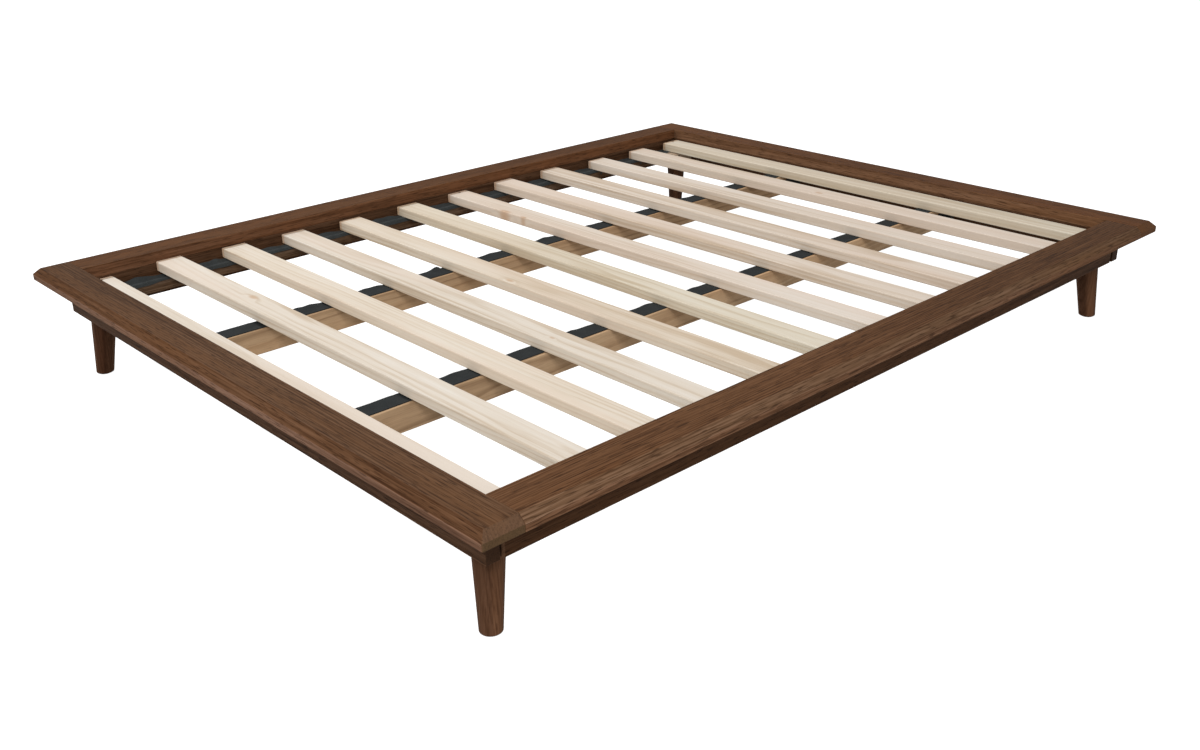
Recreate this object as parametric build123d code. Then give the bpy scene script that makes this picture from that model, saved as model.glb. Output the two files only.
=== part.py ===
from build123d import *
import math
import os

# A low platform bed frame for a queen-size mattress: four wide bevelled ledges round a
# mattress well, four deep rails under them, corner blocks with splayed tapered legs,
# and pale slats that lie on felt-covered cleats and two lengthwise centre beams.
#
# Frame: millimetres, +Z up, origin on the floor under the middle of the bed.
# X runs across the bed, along the slats. Y runs from the foot end (-Y) to the head end.

# Mattress well and ledges
WELL_WIDTH = 1536
WELL_LENGTH = 2046
SIDE_LEDGE_WIDTH = 95
END_LEDGE_WIDTH = 84
LEDGE_THICKNESS = 29
BEVEL_WIDTH = 15
BEVEL_DROP = 14.5
CORNER_RADIUS = 3
BEVEL_TOP_RADIUS = 1.5
TOP_Z = 265
ARRIS = 1.2

# Rails
RAIL_THICKNESS = 29
RAIL_HEIGHT = 78
RAIL_END_GAP = 6
RAIL_END_CHAMFER = 4

# Corner blocks, legs and glides
BLOCK_SIZE = 80
BLOCK_CHAMFER = 8
LEG_INSET_X = 57
LEG_INSET_Y = 49.5
LEG_TOP_RADIUS = 29.5
LEG_BOTTOM_RADIUS = 20.5
LEG_SPLAY = 16
LEG_EDGE_RADIUS = 2.5
LEG_EXTRA = 15
GLIDE_RADIUS = 15
GLIDE_THICKNESS = 2.5
GLIDE_CHAMFER = 0.6

# Slats and what carries them
SLAT_THICKNESS = 25
SLAT_WIDTH = 66
SLAT_RECESS = 33
SLAT_EDGE_RADIUS = 2.5
SLAT_END_RADIUS = 1.5
FELT_THICKNESS = 2
CLEAT_WIDTH = 33
CLEAT_HEIGHT = 30
CLEAT_FELT_WIDTH = 31
CLEAT_FELT_MARGIN = 8
BEAM_X = 275
BEAM_WIDTH = 50
BEAM_HEIGHT = 57
BEAM_END_GAP = 4
BEAM_FELT_WIDTH = 47
WOOD_EASE = 2

# How each slat lies, foot end first: its middle along the bed, its skew in degrees, its
# shift to the right, and how high its left end rides on the bunched felt. The first, the
# seventh and the last slat are screwed down, and the rest lie loose.
SLAT_PLACES = [
    (-989, 0, -4, 0), (-803.5, 0.5, -5, 9), (-631, 0.2, -5, 2.5), (-460, 0, -5, 0.5),
    (-279.5, 0.5, 2, 0), (-91, 0, -4, 0), (90, 0, -5, 0), (270, 0.5, -5, 3),
    (450, 0.15, -5, 4), (646, 0, 2, 0), (827, 0, 4, 0), (986.5, -0.15, 5, 0),
]
SLAT_LENGTH = 1524
SCREWED_SLATS = {0: -989, 6: 92, 11: 992}
SLAT_SCREW_INSET = 11

# Steel hangers at the ends of the centre beams
HANGER_STEEL = 2.5
HANGER_DEPTH = 40
HANGER_SIDE_HEIGHT = 48
HANGER_FLANGE_WIDTH = 24
HANGER_FLANGE_BOTTOM = 162
HANGER_FLANGE_HEIGHT = 38
HANGER_SCREW_Z = 181
HANGER_SIDE_SCREW_INSET = 26

# Fasteners: shank radius, length, head radius, head height
LEG_BOLT = (4, 76)
LEG_BOLT_IN_BLOCK = 30
LEG_INSERT_RADIUS = 6.5
LEG_INSERT_LENGTH = 22
CORNER_BOLT = (3, 102, 6.5, 4)
CORNER_BOLT_INSET = 18
CORNER_BOLT_SIDE_Z = (170, 194)
CORNER_BOLT_END_Z = 182
CORNER_BOLT_END_STEP = 20
CLEAT_SCREW = (2.2, 52, 4.5, 2.8)
CLEAT_SCREW_Y = (-803, -460, -91, 270, 646, 827)
SLAT_SCREW = (2.2, 38, 4.8, 3)
SLAT_SCREW_SINK = 0.6
HANGER_SCREW = (2, 22, 4.2, 2.2)
DOWEL_RADIUS = 4
LEDGE_DOWEL_LENGTH = 34
LEDGE_DOWEL_RISE = 16
SIDE_DOWEL_Y = (-900, -450, 0, 450, 900)
END_DOWEL_X = (-600, -200, 200, 600)
SEAM_DOWEL_LENGTH = 40
SEAM_DOWEL_Z = 249
SEAM_DOWEL_OFFSETS = (22, 60)

# Worked out from the above
BED_WIDTH = WELL_WIDTH + 2 * SIDE_LEDGE_WIDTH
BED_LENGTH = WELL_LENGTH + 2 * END_LEDGE_WIDTH
WELL_X = WELL_WIDTH / 2
WELL_Y = WELL_LENGTH / 2
LEDGE_Z = TOP_Z - LEDGE_THICKNESS
RAIL_Z = LEDGE_Z - RAIL_HEIGHT
SLAT_TOP_Z = TOP_Z - SLAT_RECESS
SLAT_Z = SLAT_TOP_Z - SLAT_THICKNESS
SUPPORT_Z = SLAT_Z - FELT_THICKNESS
BLOCK_INNER_X = WELL_X - BLOCK_SIZE
BLOCK_INNER_Y = WELL_Y - BLOCK_SIZE
LEG_X = WELL_X + RAIL_THICKNESS - LEG_INSET_X
LEG_Y = WELL_Y + RAIL_THICKNESS - LEG_INSET_Y

SIDES = {"left": -1, "right": 1}
ENDS = {"foot": -1, "head": 1}
CORNERS = {f"{end}_{side}": (sx, sy) for end, sy in ENDS.items() for side, sx in SIDES.items()}

nodes = {}


def block(x, y, z):
    """A box from three (low, high) pairs."""
    size = [abs(high - low) for low, high in (x, y, z)]
    centre = [(low + high) / 2 for low, high in (x, y, z)]
    return Pos(*centre) * Box(*size)


def screw(fastener, start, direction):
    """A flat-headed screw or bolt, from the middle of its head's top face."""
    shank_radius, length, head_radius, head_height = fastener
    shank = Cylinder(shank_radius, length, align=(Align.CENTER, Align.CENTER, Align.MIN))
    head = Cylinder(head_radius, head_height, align=(Align.CENTER, Align.CENTER, Align.MIN))
    return Plane(origin=start, z_dir=direction) * (shank + head)


def dowel(centre, direction, length):
    """A plain round wooden dowel about its middle."""
    return Plane(origin=centre, z_dir=direction) * Cylinder(DOWEL_RADIUS, length)


def eased(piece, radius):
    """The piece with every edge rounded a little."""
    return fillet(piece.edges(), radius)


def drilled(piece, fasteners):
    """The piece with a snug hole for each fastener that reaches it."""
    reach = piece.bounding_box()
    for fastener in fasteners:
        box = fastener.bounding_box()
        apart = [
            box.min.X > reach.max.X, box.max.X < reach.min.X,
            box.min.Y > reach.max.Y, box.max.Y < reach.min.Y,
            box.min.Z > reach.max.Z, box.max.Z < reach.min.Z,
        ]
        if not any(apart):
            piece = piece - fastener
    return piece


# ---------------------------------------------------------------- fasteners


def leg_axis(sx, sy):
    """Top centre, bottom centre and upward direction of one leg."""
    top = Vector(sx * LEG_X, sy * LEG_Y, RAIL_Z)
    bottom = Vector(sx * (LEG_X + LEG_SPLAY), sy * (LEG_Y + LEG_SPLAY), 0)
    return top, bottom, (top - bottom).normalized()


def leg_bolts():
    """Headless steel bolts, half in the leg and half in the corner block."""
    radius, length = LEG_BOLT
    bolts = []
    for sx, sy in CORNERS.values():
        top, _, up = leg_axis(sx, sy)
        middle = top + up * (LEG_BOLT_IN_BLOCK - length / 2)
        bolts.append(Plane(origin=middle, z_dir=up) * Cylinder(radius, length))
    return bolts


def leg_inserts(bolts):
    """Threaded sleeves that the leg bolts turn into, flush under the corner blocks."""
    sleeves = []
    for (sx, sy), bolt in zip(CORNERS.values(), bolts):
        top, _, up = leg_axis(sx, sy)
        sleeve = Plane(origin=top, z_dir=up) * Cylinder(LEG_INSERT_RADIUS, 2 * LEG_INSERT_LENGTH)
        above = block((0, sx * WELL_X), (0, sy * WELL_Y), (RAIL_Z, TOP_Z))
        sleeves.append((sleeve & above) - bolt)
    return sleeves


def corner_bolts():
    """Bolts through each corner block, two into the side rail and two into the end rail."""
    bolts = []
    for sx, sy in CORNERS.values():
        side_y = sy * (BLOCK_INNER_Y + CORNER_BOLT_INSET)
        for z in CORNER_BOLT_SIDE_Z:
            start = (sx * BLOCK_INNER_X, side_y, z)
            bolts.append(screw(CORNER_BOLT, start, (sx, 0, 0)))
        for step in (0, CORNER_BOLT_END_STEP):
            end_x = sx * (BLOCK_INNER_X + CORNER_BOLT_INSET + step)
            start = (end_x, sy * BLOCK_INNER_Y, CORNER_BOLT_END_Z)
            bolts.append(screw(CORNER_BOLT, start, (0, sy, 0)))
    return bolts


def cleat_screws():
    """Screws through the cleats into the side rails, each one below a slat."""
    z = SUPPORT_Z - CLEAT_HEIGHT / 2
    screws = []
    for sx in SIDES.values():
        for y in CLEAT_SCREW_Y:
            screws.append(screw(CLEAT_SCREW, (sx * (WELL_X - CLEAT_WIDTH), y, z), (sx, 0, 0)))
    return screws


def slat_screw_places():
    """Where the screws enter the fixed slats, near both ends of each."""
    places = []
    for index, y in SCREWED_SLATS.items():
        shift = SLAT_PLACES[index][2]
        for sx in SIDES.values():
            places.append((shift + sx * (SLAT_LENGTH / 2 - SLAT_SCREW_INSET), y))
    return places


def slat_screws():
    """Screws down through the fixed slats, a little below their faces."""
    start_z = SLAT_TOP_Z - SLAT_SCREW_SINK
    return [screw(SLAT_SCREW, (x, y, start_z), (0, 0, -1)) for x, y in slat_screw_places()]


def slat_screw_wells():
    """The open countersinks above the slat screws."""
    well = Cylinder(SLAT_SCREW[2], 2 * SLAT_SCREW_SINK)
    return [Pos(x, y, SLAT_TOP_Z) * well for x, y in slat_screw_places()]


def hanger_screws():
    """Screws through the hangers' flanges into the rails and their sides into the beams."""
    screws = []
    for beam_x in (-BEAM_X, BEAM_X):
        for sy in ENDS.values():
            for sx in SIDES.values():
                flange_x = BEAM_WIDTH / 2 + HANGER_STEEL + HANGER_FLANGE_WIDTH / 2
                flange_y = WELL_Y - HANGER_STEEL - HANGER_SCREW[3]
                start = (beam_x + sx * flange_x, sy * flange_y, HANGER_SCREW_Z)
                screws.append(screw(HANGER_SCREW, start, (0, sy, 0)))
                side_x = BEAM_WIDTH / 2 + HANGER_STEEL + HANGER_SCREW[3]
                side_y = WELL_Y - HANGER_SIDE_SCREW_INSET
                start = (beam_x + sx * side_x, sy * side_y, HANGER_SCREW_Z)
                screws.append(screw(HANGER_SCREW, start, (-sx, 0, 0)))
    return screws


def ledge_dowels():
    """Upright dowels between the rails' top edges and the ledges."""
    z = LEDGE_Z + LEDGE_DOWEL_RISE - LEDGE_DOWEL_LENGTH / 2
    side_x = WELL_X + RAIL_THICKNESS / 2
    end_y = WELL_Y + RAIL_THICKNESS / 2
    places = [(sx * side_x, y) for sx in SIDES.values() for y in SIDE_DOWEL_Y]
    places += [(x, sy * end_y) for sy in ENDS.values() for x in END_DOWEL_X]
    return [dowel((x, y, z), (0, 0, 1), LEDGE_DOWEL_LENGTH) for x, y in places]


def seam_dowels():
    """Level dowels across the seams between the side ledges and the end ledges."""
    dowels = []
    for sx, sy in CORNERS.values():
        for offset in SEAM_DOWEL_OFFSETS:
            centre = (sx * (WELL_X + offset), sy * WELL_Y, SEAM_DOWEL_Z)
            dowels.append(dowel(centre, (0, 1, 0), SEAM_DOWEL_LENGTH))
    return dowels


# ---------------------------------------------------------------- wooden frame


def ledge_ring():
    """The four ledges in one piece, bevelled all round the outer top edge."""
    bevel_z = TOP_Z - BEVEL_DROP
    outline = RectangleRounded(BED_WIDTH, BED_LENGTH, CORNER_RADIUS)
    inset = 2 * BEVEL_WIDTH
    crown = RectangleRounded(BED_WIDTH - inset, BED_LENGTH - inset, BEVEL_TOP_RADIUS)
    plate = extrude(Pos(0, 0, LEDGE_Z) * outline, LEDGE_THICKNESS - BEVEL_DROP)
    bevel = loft([Pos(0, 0, bevel_z) * outline, Pos(0, 0, TOP_Z) * crown], ruled=True)
    well = Pos(0, 0, TOP_Z) * Box(WELL_WIDTH, WELL_LENGTH, 4 * LEDGE_THICKNESS)
    return plate + bevel - well


def make_ledges(fasteners):
    """Full-width ledges at foot and head, with the side ledges butted between them."""
    ring = ledge_ring()
    height = (LEDGE_Z, TOP_Z)
    for end, sy in ENDS.items():
        region = block((-BED_WIDTH, BED_WIDTH), (sy * WELL_Y, sy * BED_LENGTH), height)
        nodes[f"ledge_{end}"] = drilled(eased(ring & region, ARRIS), fasteners)
    for side, sx in SIDES.items():
        region = block((sx * WELL_X, sx * BED_WIDTH), (-WELL_Y, WELL_Y), height)
        nodes[f"ledge_{side}"] = drilled(eased(ring & region, ARRIS), fasteners)


def make_rails(fasteners):
    """End rails run to the corners, and the side rails stop a few millimetres behind them."""
    height = (RAIL_Z, LEDGE_Z)
    outer_x = WELL_X + RAIL_THICKNESS
    for end, sy in ENDS.items():
        rail = block((-outer_x, outer_x), (sy * WELL_Y, sy * (WELL_Y + RAIL_THICKNESS)), height)
        nodes[f"rail_{end}"] = drilled(eased(rail, ARRIS), fasteners)
    for side, sx in SIDES.items():
        reach = WELL_Y - RAIL_END_GAP
        rail = block((sx * WELL_X, sx * outer_x), (-reach, reach), height)
        upright = rail.edges().filter_by(Axis.Z)
        outer = sorted(upright, key=lambda edge: sx * edge.center().X)[2:]
        rail = chamfer(outer, RAIL_END_CHAMFER)
        nodes[f"rail_{side}"] = drilled(eased(rail, ARRIS), fasteners)


def make_corner_blocks(fasteners):
    """Square blocks inside the corners, level with the cleats, that carry the legs."""
    height = (RAIL_Z, SUPPORT_Z)
    for corner, (sx, sy) in CORNERS.items():
        body = block((sx * BLOCK_INNER_X, sx * WELL_X), (sy * BLOCK_INNER_Y, sy * WELL_Y), height)
        upright = body.edges().filter_by(Axis.Z)
        inner = min(upright, key=lambda edge: sx * edge.center().X + sy * edge.center().Y)
        body = chamfer(inner, BLOCK_CHAMFER)
        nodes[f"corner_block_{corner}"] = drilled(body, fasteners)


def make_legs(bolts):
    """Round tapered legs, splayed outwards both ways, cut level at both ends."""
    taper = (LEG_TOP_RADIUS - LEG_BOTTOM_RADIUS) / math.hypot(RAIL_Z, LEG_SPLAY, LEG_SPLAY)
    for corner, (sx, sy) in CORNERS.items():
        top, bottom, up = leg_axis(sx, sy)
        length = (top - bottom).length + 2 * LEG_EXTRA
        cone = Cone(
            LEG_BOTTOM_RADIUS - taper * LEG_EXTRA,
            LEG_TOP_RADIUS + taper * LEG_EXTRA,
            length,
            align=(Align.CENTER, Align.CENTER, Align.MIN),
        )
        cone = Plane(origin=bottom - up * LEG_EXTRA, z_dir=up) * cone
        level = block((0, sx * BED_WIDTH), (0, sy * BED_LENGTH), (GLIDE_THICKNESS, RAIL_Z))
        leg = cone & level
        leg = fillet(leg.edges().sort_by(Axis.Z)[0], LEG_EDGE_RADIUS)
        nodes[f"leg_{corner}"] = drilled(leg, bolts)


def make_glides():
    """Thin round pads under the legs."""
    for corner, (sx, sy) in CORNERS.items():
        _, bottom, _ = leg_axis(sx, sy)
        pad = Cylinder(GLIDE_RADIUS, GLIDE_THICKNESS, align=(Align.CENTER, Align.CENTER, Align.MIN))
        pad = chamfer(pad.edges().sort_by(Axis.Z)[0], GLIDE_CHAMFER)
        nodes[f"leg_glide_{corner}"] = Pos(bottom.X, bottom.Y, 0) * pad


# ---------------------------------------------------------------- slat supports


def make_cleats(fasteners):
    """Cleats on the side rails, between the corner blocks, with felt over their tops."""
    height = (SUPPORT_Z - CLEAT_HEIGHT, SUPPORT_Z)
    reach = WELL_Y - CLEAT_FELT_MARGIN
    for side, sx in SIDES.items():
        outer = sx * WELL_X
        cleat = block((outer - sx * CLEAT_WIDTH, outer), (-BLOCK_INNER_Y, BLOCK_INNER_Y), height)
        exposed = cleat.edges().filter_by(Axis.Y)
        exposed = sorted(exposed, key=lambda edge: sx * edge.center().X)[:2]
        nodes[f"cleat_{side}"] = drilled(fillet(exposed, WOOD_EASE), fasteners)
        felt = block((outer - sx * CLEAT_FELT_WIDTH, outer), (-reach, reach), (SUPPORT_Z, SLAT_Z))
        nodes[f"cleat_felt_{side}"] = drilled(felt, fasteners)


def make_centre_beams(fasteners):
    """Two lengthwise beams on edge, held at both ends, with felt on top."""
    reach = WELL_Y - BEAM_END_GAP
    for side, sx in SIDES.items():
        x = sx * BEAM_X
        half = BEAM_WIDTH / 2
        beam = block((x - half, x + half), (-reach, reach), (SUPPORT_Z - BEAM_HEIGHT, SUPPORT_Z))
        long_edges = beam.edges().filter_by(Axis.Y)
        nodes[f"centre_beam_{side}"] = drilled(fillet(long_edges, WOOD_EASE), fasteners)
        half = BEAM_FELT_WIDTH / 2
        nodes[f"beam_felt_{side}"] = block((x - half, x + half), (-reach, reach), (SUPPORT_Z, SLAT_Z))


def make_beam_hangers(fasteners):
    """Bent steel saddles on the end rails: a shelf, two sides and two flanges each."""
    half = BEAM_WIDTH / 2
    beam_bottom = SUPPORT_Z - BEAM_HEIGHT
    shelf_z = beam_bottom - HANGER_STEEL
    side_z = (shelf_z, shelf_z + HANGER_SIDE_HEIGHT)
    flange_z = (HANGER_FLANGE_BOTTOM, HANGER_FLANGE_BOTTOM + HANGER_FLANGE_HEIGHT)
    for side, side_sign in SIDES.items():
        x = side_sign * BEAM_X
        for end, sy in ENDS.items():
            depth = (sy * (WELL_Y - HANGER_DEPTH), sy * WELL_Y)
            rim = half + HANGER_STEEL
            hanger = block((x - rim, x + rim), depth, (shelf_z, beam_bottom))
            for sx in SIDES.values():
                hanger += block((x + sx * half, x + sx * rim), depth, side_z)
                wing = (x + sx * half, x + sx * (rim + HANGER_FLANGE_WIDTH))
                hanger += block(wing, (sy * (WELL_Y - HANGER_STEEL), sy * WELL_Y), flange_z)
            nodes[f"beam_hanger_{end}_{side}"] = drilled(hanger, fasteners)


def make_slats(fasteners):
    """Twelve slats in slightly uneven places, as they lie on the felt."""
    for index, (y, skew, shift, lift) in enumerate(SLAT_PLACES):
        slat = Box(SLAT_LENGTH, SLAT_WIDTH, SLAT_THICKNESS)
        slat = fillet(slat.edges().filter_by(Axis.X), SLAT_EDGE_RADIUS)
        slat = fillet(slat.faces().filter_by(Axis.X).edges(), SLAT_END_RADIUS)
        slat = Pos(-SLAT_LENGTH / 2, 0, SLAT_THICKNESS / 2) * slat
        tilt = math.degrees(math.asin(lift / SLAT_LENGTH))
        slat = Pos(SLAT_LENGTH / 2, 0, SLAT_Z) * Rot(0, tilt, 0) * slat
        slat = Pos(shift, y, 0) * Rot(0, 0, skew) * slat
        nodes[f"slat_{index + 1:02d}"] = drilled(slat, fasteners if index in SCREWED_SLATS else [])


def main():
    leg_bolt_solids = leg_bolts()
    insert_solids = leg_inserts(leg_bolt_solids)
    groups = {
        "leg_bolts": leg_bolt_solids,
        "leg_inserts": insert_solids,
        "corner_bolts": corner_bolts(),
        "cleat_screws": cleat_screws(),
        "slat_screws": slat_screws(),
        "hanger_screws": hanger_screws(),
        "ledge_dowels": ledge_dowels(),
        "ledge_seam_dowels": seam_dowels(),
    }
    make_ledges(groups["ledge_dowels"] + groups["ledge_seam_dowels"])
    make_rails(
        groups["corner_bolts"] + groups["cleat_screws"] + groups["hanger_screws"] + groups["ledge_dowels"]
    )
    make_corner_blocks(leg_bolt_solids + insert_solids + groups["corner_bolts"] + groups["slat_screws"])
    make_legs(leg_bolt_solids)
    make_glides()
    make_cleats(groups["cleat_screws"] + groups["slat_screws"])
    make_centre_beams(groups["hanger_screws"])
    make_beam_hangers(groups["hanger_screws"])
    make_slats(groups["slat_screws"] + slat_screw_wells())
    for name, solids in groups.items():
        nodes[name] = Compound(children=solids)
    os.makedirs("parts", exist_ok=True)
    for name, shape in nodes.items():
        export_step(shape, f"parts/{name}.step")
    print(len(nodes), "nodes")


main()
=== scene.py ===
import math

import bmesh
import bpy
from mathutils import Matrix, Vector


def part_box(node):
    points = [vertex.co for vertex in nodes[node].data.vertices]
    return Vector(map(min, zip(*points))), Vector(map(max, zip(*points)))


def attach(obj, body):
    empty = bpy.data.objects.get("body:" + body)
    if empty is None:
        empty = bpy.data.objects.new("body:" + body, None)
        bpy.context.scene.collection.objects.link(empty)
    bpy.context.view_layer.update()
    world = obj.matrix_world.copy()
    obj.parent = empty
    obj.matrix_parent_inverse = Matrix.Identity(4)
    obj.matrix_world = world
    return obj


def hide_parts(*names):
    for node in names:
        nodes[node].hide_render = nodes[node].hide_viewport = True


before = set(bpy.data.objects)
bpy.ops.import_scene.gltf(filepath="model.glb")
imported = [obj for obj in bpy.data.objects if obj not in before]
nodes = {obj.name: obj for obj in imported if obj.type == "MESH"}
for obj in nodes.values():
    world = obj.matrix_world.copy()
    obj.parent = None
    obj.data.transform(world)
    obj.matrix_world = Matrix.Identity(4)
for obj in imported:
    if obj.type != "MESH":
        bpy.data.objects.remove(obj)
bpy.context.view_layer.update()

# ---------------------------------------------------------------- camera

CAMERA_PLACE = (2.1246, -2.0435, 1.2067)
CAMERA_AZIMUTH = 46.95
CAMERA_PITCH = 23.76
CAMERA_ROLL = -0.84
CAMERA_LENS = 37.2
SENSOR_WIDTH = 36.0


def make_camera():
    """The photographer's view, over the foot end's near corner."""
    azimuth = math.radians(CAMERA_AZIMUTH)
    pitch = math.radians(CAMERA_PITCH)
    level = math.cos(pitch)
    look = Vector((-math.sin(azimuth) * level, math.cos(azimuth) * level, -math.sin(pitch)))
    turn = look.to_track_quat("-Z", "Y").to_matrix().to_4x4()
    roll = Matrix.Rotation(math.radians(CAMERA_ROLL), 4, "Z")
    data = bpy.data.cameras.new("camera")
    data.sensor_fit = "HORIZONTAL"
    data.sensor_width = SENSOR_WIDTH
    data.lens = CAMERA_LENS
    data.clip_end = 100
    camera = bpy.data.objects.new("camera", data)
    camera.matrix_world = Matrix.Translation(CAMERA_PLACE) @ turn @ roll
    bpy.context.scene.collection.objects.link(camera)
    bpy.context.scene.camera = camera


# ---------------------------------------------------------------- shader helpers


class Shader:
    """A material's node tree, built from short calls that take and give sockets."""

    def __init__(self, name):
        self.material = bpy.data.materials.new(name)
        self.material.use_nodes = True
        self.tree = self.material.node_tree
        self.tree.nodes.clear()
        self.surface = self.node("ShaderNodeBsdfPrincipled")
        output = self.node("ShaderNodeOutputMaterial")
        self.tree.links.new(self.surface.outputs[0], output.inputs["Surface"])

    def node(self, kind, **settings):
        node = self.tree.nodes.new(kind)
        for key, value in settings.items():
            setattr(node, key, value)
        return node

    def plug(self, value, socket):
        if isinstance(value, bpy.types.NodeSocket):
            self.tree.links.new(value, socket)
        else:
            socket.default_value = value

    def put(self, name, value):
        """Sets or links one input of the surface shader."""
        self.plug(value, self.surface.inputs[name])

    def maths(self, operation, a, b=0.0, c=0.0):
        node = self.node("ShaderNodeMath", operation=operation)
        for value, socket in zip((a, b, c), node.inputs):
            self.plug(value, socket)
        return node.outputs[0]

    def vector(self, operation, a, b=(0, 0, 0)):
        node = self.node("ShaderNodeVectorMath", operation=operation)
        self.plug(a, node.inputs[0])
        self.plug(b, node.inputs[1])
        return node.outputs["Value" if operation in ("LENGTH", "DISTANCE", "DOT_PRODUCT") else "Vector"]

    def split(self, vector):
        node = self.node("ShaderNodeSeparateXYZ")
        self.plug(vector, node.inputs[0])
        return list(node.outputs)

    def join(self, x, y, z):
        node = self.node("ShaderNodeCombineXYZ")
        for value, socket in zip((x, y, z), node.inputs):
            self.plug(value, socket)
        return node.outputs[0]

    def noise(self, vector, stretch, detail=2.0, roughness=0.5, output="Fac"):
        """Noise with its own scale along each axis, as features per metre."""
        node = self.node("ShaderNodeTexNoise")
        self.plug(self.vector("MULTIPLY", vector, stretch), node.inputs["Vector"])
        node.inputs["Scale"].default_value = 1.0
        node.inputs["Detail"].default_value = detail
        node.inputs["Roughness"].default_value = roughness
        return node.outputs[output]

    def remap(self, value, low, high, to_low=0.0, to_high=1.0, smooth=True):
        node = self.node("ShaderNodeMapRange", interpolation_type="SMOOTHSTEP" if smooth else "LINEAR")
        for number, socket in zip((value, low, high, to_low, to_high), node.inputs):
            self.plug(number, socket)
        return node.outputs[0]

    def ramp(self, factor, stops):
        node = self.node("ShaderNodeValToRGB")
        elements = node.color_ramp.elements
        while len(elements) < len(stops):
            elements.new(0.5)
        for element, (place, colour) in zip(elements, stops):
            element.position = place
            element.color = (*colour, 1)
        self.plug(factor, node.inputs[0])
        return node.outputs[0]

    def mix(self, factor, a, b, blend="MIX"):
        node = self.node("ShaderNodeMix", data_type="RGBA", blend_type=blend)
        self.plug(factor, node.inputs[0])
        self.plug((*a, 1) if isinstance(a, tuple) else a, node.inputs[6])
        self.plug((*b, 1) if isinstance(b, tuple) else b, node.inputs[7])
        return node.outputs[2]

    def bump(self, height, strength, distance):
        node = self.node("ShaderNodeBump")
        node.inputs["Strength"].default_value = strength
        node.inputs["Distance"].default_value = distance
        self.plug(height, node.inputs["Height"])
        self.put("Normal", node.outputs[0])


# ---------------------------------------------------------------- wood

WALNUT = {
    "dark": (0.040, 0.0165, 0.0066),
    "mid": (0.080, 0.0365, 0.0160),
    "light": (0.118, 0.058, 0.028),
    "warm": (0.100, 0.041, 0.0145),
    "warmth": 0.5,
    "ring": 0.0062,
    "ring_contrast": 0.30,
    "streaks": 0.12,
    "fibres": 0.80,
    "patches": 0.28,
    "pores": 0.68,
    "sway": 0.008,
    "gloss": 0.03,
    "roughness": 0.5,
    "end": (0.112, 0.062, 0.033),
    "end_shade": 0.4,
}
LEG = {**WALNUT, "ring_contrast": 0.18, "fibres": 0.42, "pores": 0.30, "warmth": 0.3}
PALE = {
    "dark": (0.60, 0.49, 0.37),
    "mid": (0.745, 0.665, 0.565),
    "light": (0.80, 0.745, 0.67),
    "warm": (0.775, 0.665, 0.565),
    "warmth": 0.60,
    "ring": 0.0085,
    "ring_contrast": 0.28,
    "streaks": 0.42,
    "fibres": 0.36,
    "patches": 0.75,
    "pores": 0.03,
    "sway": 0.022,
    "gloss": 0.08,
    "roughness": 0.6,
    "end": (0.60, 0.44, 0.31),
    "end_shade": 0.5,
}
BEAM = {
    "dark": (0.215, 0.145, 0.095),
    "mid": (0.375, 0.275, 0.195),
    "light": (0.49, 0.385, 0.285),
    "warm": (0.40, 0.27, 0.175),
    "warmth": 0.5,
    "ring": 0.015,
    "ring_contrast": 0.30,
    "streaks": 0.20,
    "fibres": 0.22,
    "patches": 0.5,
    "pores": 0.15,
    "sway": 0.05,
    "gloss": 0.08,
    "roughness": 0.6,
    "end": (0.20, 0.13, 0.085),
    "end_shade": 0.5,
}


# The share of a face's normal that must point along the grain for end grain to begin, and to be complete.
END_GRAIN = (0.4, 0.7)
# The same for a face that gets painted light and shade of its own, by which way it looks.
PAINTED_LIGHT_FACING = (0.78, 0.95)
# Where the painted shade at each end of a slat begins and is complete, from its middle.
SLAT_END_SHADE_REACH = (0.749, 0.753)
KNOT_COLOUR = (0.52, 0.30, 0.15)


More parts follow.
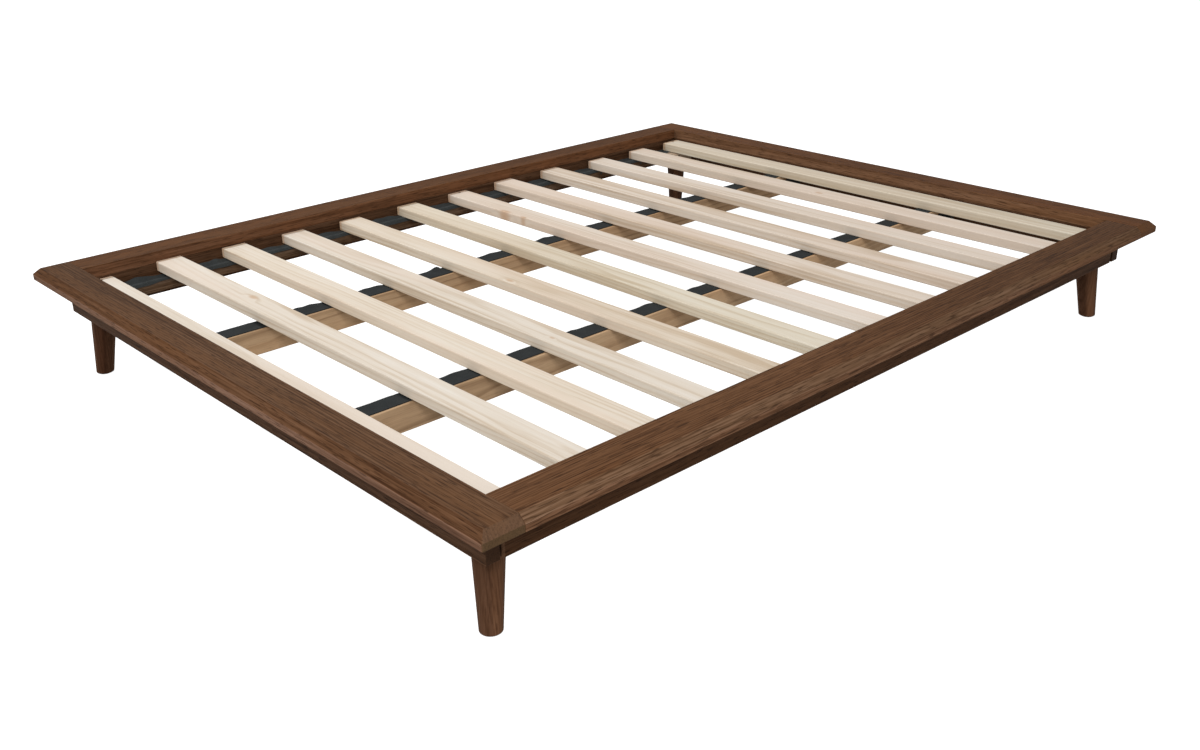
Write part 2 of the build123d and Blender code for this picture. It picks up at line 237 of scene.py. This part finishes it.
def wood(
    name,
    look,
    grain,
    centre,
    seed,
    pith=(0.02, -0.09),
    lean=(0.01, 0.006),
    tint=(1, 1, 1),
    faces=(),
    knots=(),
    painted_light_fade=0.0,
    painted_end_shade=(1, 1, 1),
):
    """A board cut from a log: growth rings round a pith line, and streaks, fibres and pores along it.

    pith is the pith line's place across the board and through it, from the board's middle, and lean is
    how far it drifts from the board's length per metre. faces gives painted light and shade to the faces
    that look one way: a tint for each, by how the lamps fall on them. knots gives each knot's place along
    the board and across it, and its size. painted_light_fade is painted light that grows along the board,
    how much lighter it gets per metre, and painted_end_shade is a tint of painted shade, warmed by painted
    reflection off the walnut, for a slat's last centimetre."""
    s = Shader(name)
    coordinates = s.node("ShaderNodeTexCoord")
    x, y, z = s.split(s.vector("SUBTRACT", coordinates.outputs["Object"], centre))
    along, across, through = {"X": (x, y, z), "Y": (y, x, z), "Z": (z, x, y)}[grain]
    board = s.join(along, across, through)
    placed = s.vector("ADD", board, (seed * 1.37, seed * 0.71, seed * 0.39))

    sway = s.noise(placed, (1.6, 7.0, 7.0), detail=3, output="Color")
    sway = s.vector("SUBTRACT", sway, (0.5, 0.5, 0.5))
    sway = s.vector("MULTIPLY", sway, (0.0, look["sway"], look["sway"]))
    _, sway_across, sway_through = s.split(sway)
    ring_across = s.maths("ADD", s.maths("MULTIPLY_ADD", along, lean[0], across), sway_across)
    ring_through = s.maths("ADD", s.maths("MULTIPLY_ADD", along, lean[1], through), sway_through)
    from_pith = s.vector("SUBTRACT", s.join(0.0, ring_across, ring_through), (0.0, *pith))
    radius = s.vector("LENGTH", from_pith)
    knot_shade = 0.0
    for knot_along, knot_across, size in knots:
        aside = s.maths("MULTIPLY", s.maths("SUBTRACT", along, knot_along), 0.45)
        reach = s.vector("LENGTH", s.join(aside, s.maths("SUBTRACT", across, knot_across), 0.0))
        near = s.remap(reach, 0.0, size * 4, 1.0, 0.0)
        radius = s.maths("ADD", radius, s.maths("MULTIPLY", near, size))
        shade = s.remap(reach, size * 0.4, size * 1.8, 1.0, 0.0)
        knot_shade = s.maths("MAXIMUM", knot_shade, shade)
    uneven = s.noise(s.join(radius, 0.0, seed), (45.0, 1.0, 1.0), detail=2)
    count = s.maths("MULTIPLY_ADD", uneven, 2.4, s.maths("DIVIDE", radius, look["ring"]))
    phase = s.maths("FRACT", count)
    late = s.maths("MULTIPLY", s.remap(phase, 0.3, 0.8), s.remap(phase, 0.85, 1.0, 1.0, 0.0))
    facing = s.split(coordinates.outputs["Normal"])["XYZ".index(grain)]
    end_grain = s.remap(s.maths("ABSOLUTE", facing), *END_GRAIN)
    late = s.mix(s.maths("MULTIPLY", end_grain, 0.6), s.join(late, late, late), (0.45, 0.45, 0.45))

    streaks = s.noise(placed, (1.8, 70.0, 70.0), detail=4, roughness=0.6)
    fibres = s.noise(placed, (7.0, 330.0, 330.0), detail=3, roughness=0.6)
    patches = s.noise(placed, (1.0, 8.0, 8.0), detail=2)
    tone = s.maths("MULTIPLY_ADD", late, -look["ring_contrast"], 0.5 + 0.35 * look["ring_contrast"])
    for part, kind in ((streaks, "streaks"), (fibres, "fibres"), (patches, "patches")):
        change = s.maths("MULTIPLY", s.maths("SUBTRACT", part, 0.5), 2 * look[kind])
        tone = s.maths("ADD", tone, change)
    colour = s.ramp(tone, [(0.1, look["dark"]), (0.5, look["mid"]), (0.9, look["light"])])
    warmth = s.remap(s.noise(placed, (0.8, 14.0, 14.0), detail=3), 0.46, 0.66)
    colour = s.mix(s.maths("MULTIPLY", warmth, look["warmth"]), colour, look["warm"])
    pores = s.remap(s.noise(placed, (27.0, 460.0, 460.0), detail=1), 0.55, 0.68)
    pore_colour = tuple(0.5 * part for part in look["dark"])
    colour = s.mix(s.maths("MULTIPLY", pores, look["pores"]), colour, pore_colour)
    if knots:
        colour = s.mix(s.maths("MULTIPLY", knot_shade, 0.55), colour, KNOT_COLOUR)
    colour = s.mix(s.maths("MULTIPLY", end_grain, look["end_shade"]), colour, look["end"])
    # Painted light and shade: each face that looks one way gets a tint of its own, lighter where the lamps
    # fall on it, darker where shade falls.
    for direction, shade in faces:
        toward = s.vector("DOT_PRODUCT", coordinates.outputs["Normal"], direction)
        painted_light_colour = s.mix(1.0, colour, shade, blend="MULTIPLY")
        colour = s.mix(s.remap(toward, *PAINTED_LIGHT_FACING), colour, painted_light_colour)
    # Painted light: the board grows lighter along its length, towards the fill light.
    lighter = s.maths("MULTIPLY_ADD", along, painted_light_fade, 1.0)
    colour = s.mix(1.0, colour, s.join(lighter, lighter, lighter), blend="MULTIPLY")
    # Painted shade, warmed by painted reflection off the walnut wall, over a slat's last centimetre.
    near_shaded_end = s.remap(s.maths("ABSOLUTE", along), *SLAT_END_SHADE_REACH)
    colour = s.mix(near_shaded_end, colour, s.mix(1.0, colour, painted_end_shade, blend="MULTIPLY"))
    s.put("Base Color", s.mix(1.0, colour, tint, blend="MULTIPLY"))
    s.put("Roughness", s.maths("MULTIPLY_ADD", fibres, 0.2, look["roughness"] - 0.1))
    s.put("Specular IOR Level", look["gloss"])
    relief = s.maths("SUBTRACT", s.maths("MULTIPLY", fibres, 0.6), pores)
    s.bump(relief, 0.25, 0.0004)
    return s.material


def centre_of(name):
    low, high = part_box(name)
    return tuple((low + high) / 2)


def dress(name, material):
    """Gives a CAD node its material in every slot."""
    mesh = nodes[name].data
    mesh.materials.clear()
    mesh.materials.append(material)


def dress_boards(boards):
    """Each board gets a cut of its own: look, grain axis, seed, how it lay in the log, and its painted
    light and shade.
    """
    for name, (look, grain, seed, extra) in boards.items():
        dress(name, wood(name, look, grain, centre_of(name), seed, **extra))


BEVEL_SLOPE = math.sqrt(0.5)
# Painted shade on each leg's inner sides, where the bed blocks the light, and painted light and shade on
# the outer sides of three legs, by how the lamps fall on them.
LEG_INNER_PAINTED_SHADE = (0.62, 0.60, 0.60)
LEG_OUTER_PAINTED_LIGHT_AND_SHADE = {
    "foot_left": [((BEVEL_SLOPE, -BEVEL_SLOPE, 0), (0.66, 0.59, 0.57))],
    "foot_right": [((1, 0, 0), (1.35, 1.35, 1.30))],
    "head_right": [((BEVEL_SLOPE, -BEVEL_SLOPE, 0), (1.19, 1.19, 1.18))],
}


def dress_frame():
    boards = {
        # Painted light and shade on the ledges: fronts, inner faces, edges and bevels get a tint of their
        # own by which way they face, lighter where the fill light falls, and the foot and right ledges grow
        # lighter along their length towards the fill light.
        "ledge_foot": (WALNUT, "X", 3.1, {
            "pith": (0.19, -0.045), "lean": (0.004, 0.010), "tint": (1.24, 1.34, 1.49), "painted_light_fade": 0.14,
            "faces": [
                ((0, -1, 0), (2.05, 2.20, 2.75)),
                ((0, -BEVEL_SLOPE, BEVEL_SLOPE), (1.10, 1.04, 1.01)),
                ((1, 0, 0), (0.90, 0.97, 0.88)),
                ((BEVEL_SLOPE, 0, BEVEL_SLOPE), (1.08, 1.08, 1.12)),
            ],
        }),
        "ledge_head": (WALNUT, "X", 8.7, {
            "pith": (0.15, -0.05), "lean": (0.005, 0.004), "tint": (1.25, 1.12, 0.98),
            "faces": [((0, -1, 0), (1.50, 1.86, 2.55))],
        }),
        "ledge_left": (WALNUT, "Y", 5.3, {
            "pith": (-0.13, -0.06), "lean": (0.006, 0.004), "tint": (1.17, 1.09, 0.98),
            "faces": [((1, 0, 0), (1.40, 1.47, 1.80))],
        }),
        "ledge_right": (WALNUT, "Y", 1.9, {
            "pith": (0.16, -0.06), "lean": (0.005, 0.006), "tint": (1.25, 1.23, 1.21), "painted_light_fade": -0.16,
            "faces": [
                ((1, 0, 0), (1.70, 1.87, 2.25)),
                ((BEVEL_SLOPE, 0, BEVEL_SLOPE), (1.42, 1.70, 2.12)),
            ],
        }),
    }
    rail_tint = (1.10, 1.16, 1.34)
    cleat_tint = (1.36, 1.78, 2.40)
    leg_tint = (1.30, 1.32, 1.58)
    beam_tint = (1.32, 1.20, 1.00)
    for index, name in enumerate(("rail_foot", "rail_head")):
        # Painted shade on the rail's end face, under the ledge's overhang.
        painted_shade_end = [((1, 0, 0), (0.58, 0.54, 0.52))]
        extra = {"pith": (-0.06, 0.01), "tint": rail_tint, "faces": painted_shade_end}
        boards[name] = (WALNUT, "X", 11.2 + index * 3.3, extra)
    for index, name in enumerate(("rail_left", "rail_right")):
        # Painted light on the chamfer at each end of the rail, where the fill light falls.
        painted_light_chamfer = [((BEVEL_SLOPE, -BEVEL_SLOPE, 0), (1.50, 1.50, 1.50))]
        extra = {"pith": (-0.06, 0.01), "tint": rail_tint, "faces": painted_light_chamfer}
        boards[name] = (WALNUT, "Y", 21.4 + index * 2.9, extra)
    for index, name in enumerate(("cleat_left", "cleat_right")):
        boards[name] = (WALNUT, "Y", 31.4 + index * 2.9, {"pith": (-0.06, 0.01), "tint": cleat_tint})
    corners = {"foot_left": (-1, -1), "foot_right": (1, -1), "head_left": (-1, 1), "head_right": (1, 1)}
    for index, (corner, (sx, sy)) in enumerate(corners.items()):
        faces = [((-sx, 0, 0), LEG_INNER_PAINTED_SHADE), ((0, -sy, 0), LEG_INNER_PAINTED_SHADE)]
        faces += LEG_OUTER_PAINTED_LIGHT_AND_SHADE.get(corner, [])
        extra = {"pith": (0.02, 0.05), "tint": leg_tint, "faces": faces}
        boards[f"leg_{corner}"] = (LEG, "Z", 41.4 + index * 1.7, extra)
        boards[f"corner_block_{corner}"] = (BEAM, "Y", 55.4 + index * 2.3, {"pith": (0.05, -0.06)})
    extra = {"pith": (0.05, -0.035), "lean": (0.03, 0.02), "tint": beam_tint}
    boards["centre_beam_left"] = (BEAM, "Y", 51.4, extra)
    extra = {"pith": (-0.04, 0.03), "lean": (0.02, -0.03), "tint": beam_tint}
    boards["centre_beam_right"] = (BEAM, "Y", 53.7, extra)
    dress_boards(boards)


# The slats come from different boards. Painted shade makes them a little duller towards the head end, their
# fronts more so, and painted light makes their fronts lighter.
SLAT_SHADES = {
    "plain": (0.91, 0.90, 0.89),
    "yellow": (0.91, 0.88, 0.84),
    "green": (0.895, 0.895, 0.845),
    "pink": (0.91, 0.87, 0.85),
}
SLAT_BOARDS = (
    "plain", "plain", "yellow", "plain", "yellow", "green", "pink", "pink", "pink", "pink", "pink", "green",
)
SLAT_PAINTED_FALLOFF = 0.07
SLAT_FRONT_PAINTED_LIGHT = (1.33, 1.31, 1.27)
SLAT_FRONT_PAINTED_FALLOFF = 0.20
# Painted shade at a slat's end by the wall, warmed as by light reflected off the walnut.
SLAT_END_PAINTED_SHADE = (0.93, 0.78, 0.67)
SLAT_KNOTS = {
    1: ((-0.36, 0.005, 0.006),),
    3: ((0.30, -0.01, 0.003),),
    4: ((-0.05, -0.022, 0.005),),
    6: ((-0.50, -0.03, 0.008), (-0.42, -0.03, 0.004)),
    10: ((0.0, -0.01, 0.005),),
}


def dress_slats():
    boards = {}
    for index, shade in enumerate(SLAT_BOARDS):
        seed = 61.0 + index * 4.7
        toward_head = index / (len(SLAT_BOARDS) - 1)
        painted_light_fade = 1 - SLAT_PAINTED_FALLOFF * toward_head
        front_painted_falloff = 1 - SLAT_FRONT_PAINTED_FALLOFF * toward_head
        side = math.sin(index * 2.4)
        extra = {
            "pith": (0.03 * side, -0.05 - 0.03 * math.cos(index * 1.7)),
            "lean": (0.01 * side, 0.006),
            "tint": tuple(painted_light_fade * part for part in SLAT_SHADES[shade]),
            "faces": [((0, -1, 0), tuple(front_painted_falloff * part for part in SLAT_FRONT_PAINTED_LIGHT))],
            "knots": SLAT_KNOTS.get(index, ()),
            "painted_end_shade": SLAT_END_PAINTED_SHADE,
        }
        boards[f"slat_{index + 1:02d}"] = (PALE, "X", seed, extra)
    dress_boards(boards)


# ---------------------------------------------------------------- felt, metal and plastic


def felt(name, colour):
    """Pressed wool felt: a fine matted nap with lighter flecks."""
    s = Shader(name)
    place = s.node("ShaderNodeTexCoord").outputs["Object"]
    nap = s.noise(place, (420.0, 420.0, 420.0), detail=5, roughness=0.7)
    cloud = s.noise(place, (30.0, 30.0, 30.0), detail=2)
    tone = s.maths("ADD", s.maths("MULTIPLY", nap, 0.7), s.maths("MULTIPLY", cloud, 0.3))
    dark = tuple(0.6 * part for part in colour)
    light = tuple(1.5 * part for part in colour)
    s.put("Base Color", s.ramp(tone, [(0.3, dark), (0.5, colour), (0.75, light)]))
    s.put("Roughness", 0.95)
    s.put("Specular IOR Level", 0.1)
    s.bump(nap, 0.5, 0.0008)
    return s.material


def metal(name, colour, roughness, metallic):
    """Steel, brass or plastic with faint mottling."""
    s = Shader(name)
    place = s.node("ShaderNodeTexCoord").outputs["Object"]
    mottle = s.noise(place, (260.0, 260.0, 260.0), detail=3)
    dark = tuple(0.85 * part for part in colour)
    light = tuple(min(1.0, 1.12 * part) for part in colour)
    s.put("Base Color", s.ramp(mottle, [(0.35, dark), (0.65, light)]))
    s.put("Roughness", s.maths("MULTIPLY_ADD", mottle, 0.2, roughness - 0.1))
    s.put("Metallic", metallic)
    s.bump(mottle, 0.1, 0.0002)
    return s.material


FASTENERS = ("leg_bolts", "corner_bolts", "cleat_screws", "slat_screws", "hanger_screws")


def dress_small_parts():
    black = metal("black_steel", (0.03, 0.03, 0.03), 0.45, 0.0)
    dark_steel = metal("dark_steel", (0.06, 0.055, 0.05), 0.45, 1.0)
    brass = metal("brass", (0.60, 0.44, 0.20), 0.35, 1.0)
    plastic = metal("glide_plastic", (0.03, 0.03, 0.03), 0.6, 0.0)
    for name in nodes:
        if name in FASTENERS:
            dress(name, dark_steel)
        elif name.startswith("beam_hanger"):
            dress(name, black)
        elif name == "leg_inserts":
            dress(name, brass)
        elif name.startswith("leg_glide"):
            dress(name, plastic)
        elif name.endswith("dowels"):
            dress(name, wood(name, PALE, "Z" if name == "ledge_dowels" else "Y", (0, 0, 0), 3.3))


# ---------------------------------------------------------------- felt strips

CLEAT_WIDTH = 0.033
FELT_THICKNESS = 0.002
BEAM_FELT_WIDTH = 0.044
STRIP_ROWS = 420
# How steeply the felt hangs over the cleat's edge, and where it comes to lie flat on the corner blocks.
FELT_DROOP = math.radians(86)
EDGE_EASE = 0.002
FLAT_OVER_BLOCK = [(0.922, 0), (0.940, 1)]
WALL_GAP = 0.0012
# How much the loose felt ripples in the gaps: up at the wall, away from the wall, and down over the edge.
RIPPLE_UP = 0.0018
RIPPLE_AWAY = 0.0020
RIPPLE_DOWN = 0.0012
BEAM_RIPPLE_UP = 0.0004
CLEAT_FELT_COLOUR = (0.047, 0.052, 0.053)
BEAM_FELT_COLOUR = (0.026, 0.029, 0.030)

# How the left cleat's felt lies in each gap between two slats, foot end first: how far its
# wall edge stands up, how far it has crept away from the wall, and how far it hangs down.
LEFT_GAPS = [
    (1, 0, 7), (3, 8, 8), (2, 14, 5), (3, 12, 6), (5, 3, 8), (2, 1, 7),
    (1, 0, 7), (1, 0, 7), (1, 0, 6), (1, 0, 6), (1, 0, 6),
]
# The right cleat's felt is out of sight, and lies evenly.
RIGHT_GAPS = [(1, 0, 6)] * len(LEFT_GAPS)
# The same under each slat, but the first number is the share of the room under the slat that the wall
# edge fills. Under slat 2 the felt is drawn away from the wall.
FILLED = 0.85
LEFT_UNDER = [
    (FILLED, 0, 7), (0.20, 9, 3), (FILLED, 8, 8), (FILLED, 14, 5), (FILLED, 12, 6), (FILLED, 3, 8),
    (FILLED, 1, 7), (FILLED, 0, 7), (FILLED, 0, 7), (FILLED, 0, 6), (FILLED, 0, 6), (FILLED, 0, 6),
]
RIGHT_UNDER = [(FILLED, 0, 6)] * len(LEFT_UNDER)
# Where the felt's wall edge rises into a crest, and where the beams' felt curls up along its left edge:
# place along the bed and rise, in mm.
CLEAT_CRESTS = {"left": [(-903, 6), (-690, 4), (-375, 3)], "right": []}
BEAM_CURLS = {
    "left": [
        (-730, 4), (-695, 3), (-545, 3), (-515, 2), (-334, 7),
        (-160, 2), (20, 3), (180, 2), (560, 2), (735, 1),
    ],
    "right": [(-700, 2), (-380, 3), (-150, 2), (10, 2), (350, 2), (550, 1)],
}
CREST_REACH = 0.016


def slat_names():
    return sorted(name for name in nodes if name.startswith("slat_") and name != "slat_screws")


def slat_spans():
    """Each slat's reach along the bed."""
    return [(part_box(name)[0][1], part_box(name)[1][1]) for name in slat_names()]


def room_under(name, side):
    """How far the slat's end on that side rides above the felt's flat top."""
    places = [corner.co for corner in nodes[name].data.vertices]
    reach = max(side * place.x for place in places)
    lowest = min(place.z for place in places if side * place.x > reach - 0.01)
    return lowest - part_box("cleat_felt_left")[1][2]


def smooth_between(y, knots):
    """A value along the bed that eases from one (place, value) to the next."""
    for (y0, v0), (y1, v1) in zip(knots, knots[1:]):
        if y <= y1:
            t = min(1.0, max(0.0, (y - y0) / (y1 - y0)))
            t = t * t * (3 - 2 * t)
            return v0 + (v1 - v0) * t
    return knots[-1][1]


def along_gaps(under_slats, in_gaps, settled=0.4):
    """Knots for smooth_between: one value under each slat, and another in the middle part of each gap.

    settled is the share of a gap over which the value changes, on either side of the middle part."""
    spans = slat_spans()
    knots = []
    for index, (low, high) in enumerate(spans):
        knots.append((low, under_slats[index]))
        knots.append((high, under_slats[index]))
        if index < len(in_gaps):
            next_low = spans[index + 1][0]
            knots.append((high + settled * (next_low - high), in_gaps[index]))
            knots.append((next_low - settled * (next_low - high), in_gaps[index]))
    return knots


def crests(y, places):
    """How far a felt edge stands up at y, from the crests near it."""
    height = 0.0
    for place, rise in places:
        height += 0.001 * rise * math.exp(-(((y - 0.001 * place) / CREST_REACH) ** 2))
    return height


def ripple(y, seed):
    """A small uneven wave along the bed, from -1 to 1."""
    return 0.5 * (math.sin(95 * y + 3 * seed) + math.sin(41 * y + 5 * seed))


def make_strip(name, reach, profile, material):
    """A felt strip along the bed. profile(y) gives (x, z) points along the middle of its thickness."""
    rings = []
    for row in range(STRIP_ROWS + 1):
        y = reach * (2 * row / STRIP_ROWS - 1)
        points = [Vector(point) for point in profile(y)]
        upper = []
        lower = []
        for index, point in enumerate(points):
            before = points[max(index - 1, 0)]
            after = points[min(index + 1, len(points) - 1)]
            run = (after - before).normalized()
            across = Vector((-run.y, run.x)) * FELT_THICKNESS / 2
            upper.append(point + across)
            lower.append(point - across)
        rings.append([(point.x, y, point.y) for point in upper + lower[::-1]])
    count = len(rings[0])
    half = count // 2
    corners = [corner for ring in rings for corner in ring]
    faces = []
    for row in range(STRIP_ROWS):
        for index in range(count):
            following = (index + 1) % count
            here = row * count
            there = here + count
            faces.append((here + index, here + following, there + following, there + index))
    for base in (0, STRIP_ROWS * count):
        for index in range(half - 1):
            opposite = base + count - 1 - index
            faces.append((base + index, base + index + 1, opposite - 1, opposite))
    mesh = bpy.data.meshes.new(name)
    mesh.from_pydata(corners, [], faces)
    work = bmesh.new()
    work.from_mesh(mesh)
    bmesh.ops.recalc_face_normals(work, faces=work.faces)
    work.to_mesh(mesh)
    work.free()
    mesh.shade_smooth()
    mesh.set_sharp_from_angle(angle=math.radians(50))
    mesh.materials.append(material)
    strip = bpy.data.objects.new(name, mesh)
    bpy.context.scene.collection.objects.link(strip)
    return strip


def cleat_profile(side, gaps, under, places, seed):
    """The felt over a cleat: loose at the wall, flat over the top, and hanging over the inner edge."""
    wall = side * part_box(f"cleat_{'left' if side < 0 else 'right'}")[0 if side < 0 else 1][0]
    edge = wall - CLEAT_WIDTH
    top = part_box("cleat_left")[1][2] + FELT_THICKNESS / 2
    shares = [slat[0] for slat in under]
    room = [max(0.0, share * room_under(name, side)) for share, name in zip(shares, slat_names())]
    lifts = along_gaps(room, [gap[0] * 0.001 for gap in gaps])
    creeps = along_gaps([0.001 * slat[1] for slat in under], [0.001 * gap[1] for gap in gaps])
    hangs = along_gaps([0.001 * slat[2] for slat in under], [0.001 * gap[2] for gap in gaps])
    looseness = along_gaps([0] * len(under), [1] * len(gaps))

    def profile(y):
        loose = smooth_between(y, looseness)
        lift = smooth_between(y, lifts) + loose * (crests(y, places) + RIPPLE_UP * (1 + ripple(y, seed)))
        creep = smooth_between(y, creeps) + RIPPLE_AWAY * loose * (1 + ripple(y, seed + 1))
        hang = smooth_between(y, hangs) + RIPPLE_DOWN * loose * ripple(y, seed + 2)
        start = wall - WALL_GAP - creep
        droop = FELT_DROOP * (1 - smooth_between(abs(y), FLAT_OVER_BLOCK))
        turn = edge + EDGE_EASE
        points = []
        for step in range(9):
            t = step / 8
            x = start + (turn - start) * t
            points.append((x, top + lift * (1 - t) ** 2))
        x, z = points[-1]
        # Five short steps round the eased edge, and three down the part that hangs.
        for bent in (0.1, 0.3, 0.5, 0.7, 0.9, 1.0, 1.0, 1.0):
            run = hang / 3 if bent == 1.0 else FELT_DROOP * (EDGE_EASE + FELT_THICKNESS / 2) / 5
            x -= run * math.cos(droop * bent)
            z -= run * math.sin(droop * bent)
            points.append((x, z))
        return [(side * x, z) for x, z in points]

    return profile


def beam_profile(side, curls, seed):
    """The felt over a centre beam: flat, with its outer edge curling up a little between the slats."""
    low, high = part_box(f"centre_beam_{'left' if side < 0 else 'right'}")
    top = high[2] + FELT_THICKNESS / 2
    looseness = along_gaps([0] * len(LEFT_UNDER), [1] * len(LEFT_GAPS), settled=0.08)

    def profile(y):
        curl = smooth_between(y, looseness) * (crests(y, curls) + BEAM_RIPPLE_UP * (1 + ripple(y, seed)))
        points = []
        for step in range(13):
            t = step / 12
            points.append((low[0] + BEAM_FELT_WIDTH * t, top + curl * (1 - min(1.0, 2.2 * t)) ** 2))
        return points

    return profile


def make_felts():
    cleat_felt = felt("felt_on_cleats", CLEAT_FELT_COLOUR)
    beam_felt = felt("felt_on_beams", BEAM_FELT_COLOUR)
    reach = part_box("cleat_felt_left")[1][1]
    beam_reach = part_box("beam_felt_left")[1][1]
    sides = (("left", -1, LEFT_GAPS, LEFT_UNDER, 1.0), ("right", 1, RIGHT_GAPS, RIGHT_UNDER, 2.0))
    for side_name, side, gaps, under, seed in sides:
        profile = cleat_profile(side, gaps, under, CLEAT_CRESTS[side_name], seed)
        strip = make_strip(f"cleat_felt_strip_{side_name}", reach, profile, cleat_felt)
        settle(strip, f"cleat_felt_{side_name}")
        profile = beam_profile(side, BEAM_CURLS[side_name], seed + 5)
        strip = make_strip(f"beam_felt_strip_{side_name}", beam_reach, profile, beam_felt)
        settle(strip, f"beam_felt_{side_name}")


def settle(strip, node):
    """The strip takes the place of its CAD node."""
    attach(strip, "frame")
    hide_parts(node)


# ---------------------------------------------------------------- stage

# The floor and the surround look near white to the camera, and light the bed less than that.
FLOOR_SEEN = 0.92
FLOOR_LIGHT = 0.15
SURROUND_SEEN = 1.0
SURROUND_LIGHT = 0.5
FLOOR_REACH = 30
BED_MIDDLE = (0, 0, 0.2)


def make_floor():
    """A plain pale floor, faintly lit from within so that it stays near white under the bed."""
    mesh = bpy.data.meshes.new("floor")
    corners = [(FLOOR_REACH * x, FLOOR_REACH * y, 0) for x, y in ((-1, -1), (1, -1), (1, 1), (-1, 1))]
    mesh.from_pydata(corners, [], [(0, 1, 2, 3)])
    floor = bpy.data.objects.new("floor", mesh)
    bpy.context.scene.collection.objects.link(floor)
    s = Shader("floor_paint")
    s.put("Base Color", (0.4, 0.4, 0.4, 1))
    s.put("Roughness", 0.9)
    s.put("Specular IOR Level", 0.0)
    s.put("Emission Color", (1, 1, 1, 1))
    seen = s.node("ShaderNodeLightPath").outputs["Is Camera Ray"]
    s.put("Emission Strength", s.maths("MULTIPLY_ADD", seen, FLOOR_SEEN - FLOOR_LIGHT, FLOOR_LIGHT))
    mesh.materials.append(s.material)


def area_light(name, place, size, power):
    """A round lamp that looks at the middle of the bed."""
    data = bpy.data.lights.new(name, "AREA")
    data.shape = "DISK"
    data.size = size
    data.energy = power
    light = bpy.data.objects.new(name, data)
    direction = Vector(BED_MIDDLE) - Vector(place)
    light.matrix_world = Matrix.Translation(place) @ direction.to_track_quat("-Z", "Y").to_matrix().to_4x4()
    bpy.context.scene.collection.objects.link(light)


def make_lights():
    """An even white surround, a key from high on the left and a broad fill from the viewer's side."""
    world = bpy.data.worlds.new("studio")
    world.use_nodes = True
    tree = world.node_tree
    tree.nodes["Background"].inputs["Color"].default_value = (1, 1, 1, 1)
    seen = tree.nodes.new("ShaderNodeLightPath").outputs["Is Camera Ray"]
    strength = tree.nodes.new("ShaderNodeMath")
    strength.operation = "MULTIPLY_ADD"
    tree.links.new(seen, strength.inputs[0])
    strength.inputs[1].default_value = SURROUND_SEEN - SURROUND_LIGHT
    strength.inputs[2].default_value = SURROUND_LIGHT
    tree.links.new(strength.outputs[0], tree.nodes["Background"].inputs["Strength"])
    bpy.context.scene.world = world
    area_light("key", (-3.2, -0.3, 4.8), size=0.45, power=130)
    area_light("fill", (4.2, -4.8, 5.85), size=3.3, power=345)


make_camera()
dress_frame()
dress_slats()
dress_small_parts()
make_felts()
make_floor()
make_lights()
bpy.context.scene.view_settings.view_transform = "Standard"
